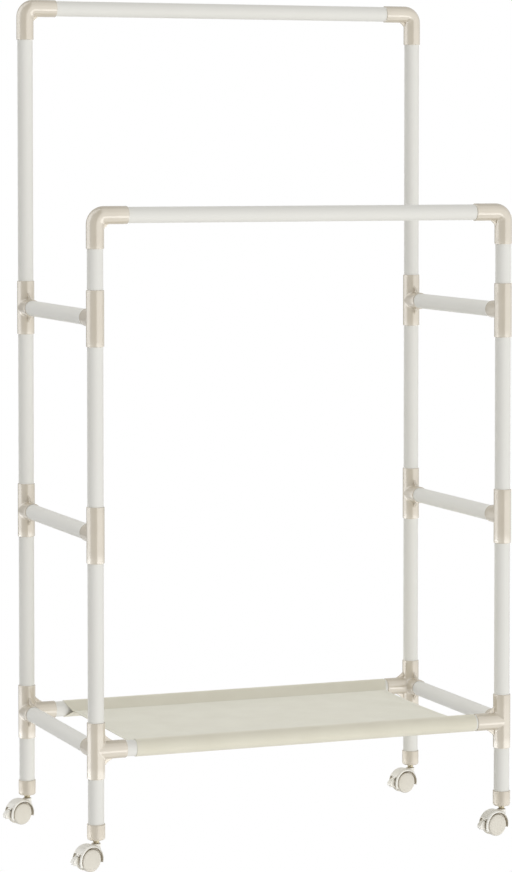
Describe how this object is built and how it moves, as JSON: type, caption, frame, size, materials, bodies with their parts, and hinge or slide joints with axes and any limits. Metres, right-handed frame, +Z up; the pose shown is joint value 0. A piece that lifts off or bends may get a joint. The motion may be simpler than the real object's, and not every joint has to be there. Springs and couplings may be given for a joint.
{
  "type": "rolling clothes rack",
  "caption": "Freestanding tube-frame clothes rack with a tall rear hanging rail, a lower front rail, side rails, a fabric shelf and braked swivel casters.",
  "frame": {"origin": "on the floor, midway between the four posts", "axes": "+X to the right seen from the low-rail side, +Y towards the tall rear rail, +Z up"},
  "size_m": [0.7605, 0.4018, 1.3702],
  "materials": {
    "tube_white": "satin white powder coat on steel tube",
    "fitting_plastic": "glossy cream moulded plastic",
    "caster_plastic": "semi-gloss pale cream nylon",
    "shelf_cloth": "plain-woven cream polyester",
    "zinc_steel": "yellowish zinc plate"
  },
  "bodies": {
    "frame": {"rear_hanging_rail": "tube_white", "front_hanging_rail": "tube_white", "rear_shelf_bar": "tube_white", "front_shelf_bar": "tube_white", "upper_post_tubes": "tube_white", "lower_post_tubes": "tube_white", "leg_tubes": "tube_white", "fabric_shelf": "shelf_cloth", "caster_stems": "zinc_steel", "lower_side_rail_left": "tube_white", "middle_side_rail_left": "tube_white", "upper_side_rail_left": "tube_white", "lower_side_rail_right": "tube_white", "middle_side_rail_right": "tube_white", "upper_side_rail_right": "tube_white", "rear_left_top_tube": "tube_white", "rear_right_top_tube": "tube_white", "front_left_top_tube": "tube_white", "front_right_top_tube": "tube_white", "elbow_rear_left": "fitting_plastic", "elbow_rear_right": "fitting_plastic", "elbow_front_left": "fitting_plastic", "elbow_front_right": "fitting_plastic", "upper_tee_rear_left": "fitting_plastic", "upper_tee_rear_right": "fitting_plastic", "upper_tee_front_left": "fitting_plastic", "upper_tee_front_right": "fitting_plastic", "middle_tee_rear_left": "fitting_plastic", "middle_tee_rear_right": "fitting_plastic", "middle_tee_front_left": "fitting_plastic", "middle_tee_front_right": "fitting_plastic", "corner_rear_left": "fitting_plastic", "corner_rear_right": "fitting_plastic", "corner_front_left": "fitting_plastic", "corner_front_right": "fitting_plastic", "foot_cup_rear_left": "fitting_plastic", "foot_cup_rear_right": "fitting_plastic", "foot_cup_front_left": "fitting_plastic", "foot_cup_front_right": "fitting_plastic"},
    "caster_rear_left": {"caster_hood_rear_left": "caster_plastic", "caster_axle_rear_left": "zinc_steel"},
    "near_wheel_rear_left": {"near_wheel_rear_left": "caster_plastic"},
    "far_wheel_rear_left": {"far_wheel_rear_left": "caster_plastic"},
    "brake_lever_rear_left": {"brake_lever_rear_left": "caster_plastic"},
    "caster_rear_right": {"caster_hood_rear_right": "caster_plastic", "caster_axle_rear_right": "zinc_steel"},
    "near_wheel_rear_right": {"near_wheel_rear_right": "caster_plastic"},
    "far_wheel_rear_right": {"far_wheel_rear_right": "caster_plastic"},
    "brake_lever_rear_right": {"brake_lever_rear_right": "caster_plastic"},
    "caster_front_left": {"caster_hood_front_left": "caster_plastic", "caster_axle_front_left": "zinc_steel"},
    "near_wheel_front_left": {"near_wheel_front_left": "caster_plastic"},
    "far_wheel_front_left": {"far_wheel_front_left": "caster_plastic"},
    "brake_lever_front_left": {"brake_lever_front_left": "caster_plastic"},
    "caster_front_right": {"caster_hood_front_right": "caster_plastic", "caster_axle_front_right": "zinc_steel"},
    "near_wheel_front_right": {"near_wheel_front_right": "caster_plastic"},
    "far_wheel_front_right": {"far_wheel_front_right": "caster_plastic"},
    "brake_lever_front_right": {"brake_lever_front_right": "caster_plastic"}
  },
  "joints": [
    {"name": "swivel_rear_left", "type": "hinge", "parent": "frame", "child": "caster_rear_left", "pos_m": [-0.35, 0.1825, 0.042], "axis": [0, 0, 1], "continuous": true},
    {"name": "near_wheel_spin_rear_left", "type": "hinge", "parent": "caster_rear_left", "child": "near_wheel_rear_left", "pos_m": [-0.36503, 0.17762, 0.018], "axis": [-0.309, 0.9511, 0], "continuous": true},
    {"name": "far_wheel_spin_rear_left", "type": "hinge", "parent": "caster_rear_left", "child": "far_wheel_rear_left", "pos_m": [-0.36503, 0.17762, 0.018], "axis": [-0.309, 0.9511, 0], "continuous": true},
    {"name": "brake_rear_left", "type": "hinge", "parent": "caster_rear_left", "child": "brake_lever_rear_left", "pos_m": [-0.37454, 0.17453, 0.024], "axis": [0.309, -0.9511, 0], "range_deg": [0, 14]},
    {"name": "swivel_rear_right", "type": "hinge", "parent": "frame", "child": "caster_rear_right", "pos_m": [0.35, 0.1825, 0.042], "axis": [0, 0, 1], "continuous": true},
    {"name": "near_wheel_spin_rear_right", "type": "hinge", "parent": "caster_rear_right", "child": "near_wheel_rear_right", "pos_m": [0.33454, 0.17922, 0.018], "axis": [-0.2079, 0.9781, 0], "continuous": true},
    {"name": "far_wheel_spin_rear_right", "type": "hinge", "parent": "caster_rear_right", "child": "far_wheel_rear_right", "pos_m": [0.33454, 0.17922, 0.018], "axis": [-0.2079, 0.9781, 0], "continuous": true},
    {"name": "brake_rear_right", "type": "hinge", "parent": "caster_rear_right", "child": "brake_lever_rear_right", "pos_m": [0.32476, 0.17714, 0.024], "axis": [0.2079, -0.9781, 0], "range_deg": [0, 14]},
    {"name": "swivel_front_left", "type": "hinge", "parent": "frame", "child": "caster_front_left", "pos_m": [-0.35, -0.1825, 0.042], "axis": [0, 0, 1], "continuous": true},
    {"name": "near_wheel_spin_front_left", "type": "hinge", "parent": "caster_front_left", "child": "near_wheel_front_left", "pos_m": [-0.36503, -0.18738, 0.018], "axis": [-0.309, 0.9511, 0], "continuous": true},
    {"name": "far_wheel_spin_front_left", "type": "hinge", "parent": "caster_front_left", "child": "far_wheel_front_left", "pos_m": [-0.36503, -0.18738, 0.018], "axis": [-0.309, 0.9511, 0], "continuous": true},
    {"name": "brake_front_left", "type": "hinge", "parent": "caster_front_left", "child": "brake_lever_front_left", "pos_m": [-0.37454, -0.19047, 0.024], "axis": [0.309, -0.9511, 0], "range_deg": [0, 14]},
    {"name": "swivel_front_right", "type": "hinge", "parent": "frame", "child": "caster_front_right", "pos_m": [0.35, -0.1825, 0.042], "axis": [0, 0, 1], "continuous": true},
    {"name": "near_wheel_spin_front_right", "type": "hinge", "parent": "caster_front_right", "child": "near_wheel_front_right", "pos_m": [0.33454, -0.18579, 0.018], "axis": [-0.2079, 0.9781, 0], "continuous": true},
    {"name": "far_wheel_spin_front_right", "type": "hinge", "parent": "caster_front_right", "child": "far_wheel_front_right", "pos_m": [0.33454, -0.18579, 0.018], "axis": [-0.2079, 0.9781, 0], "continuous": true},
    {"name": "brake_front_right", "type": "hinge", "parent": "caster_front_right", "child": "brake_lever_front_right", "pos_m": [0.32476, -0.18786, 0.024], "axis": [0.2079, -0.9781, 0], "range_deg": [0, 14]}
  ]
}
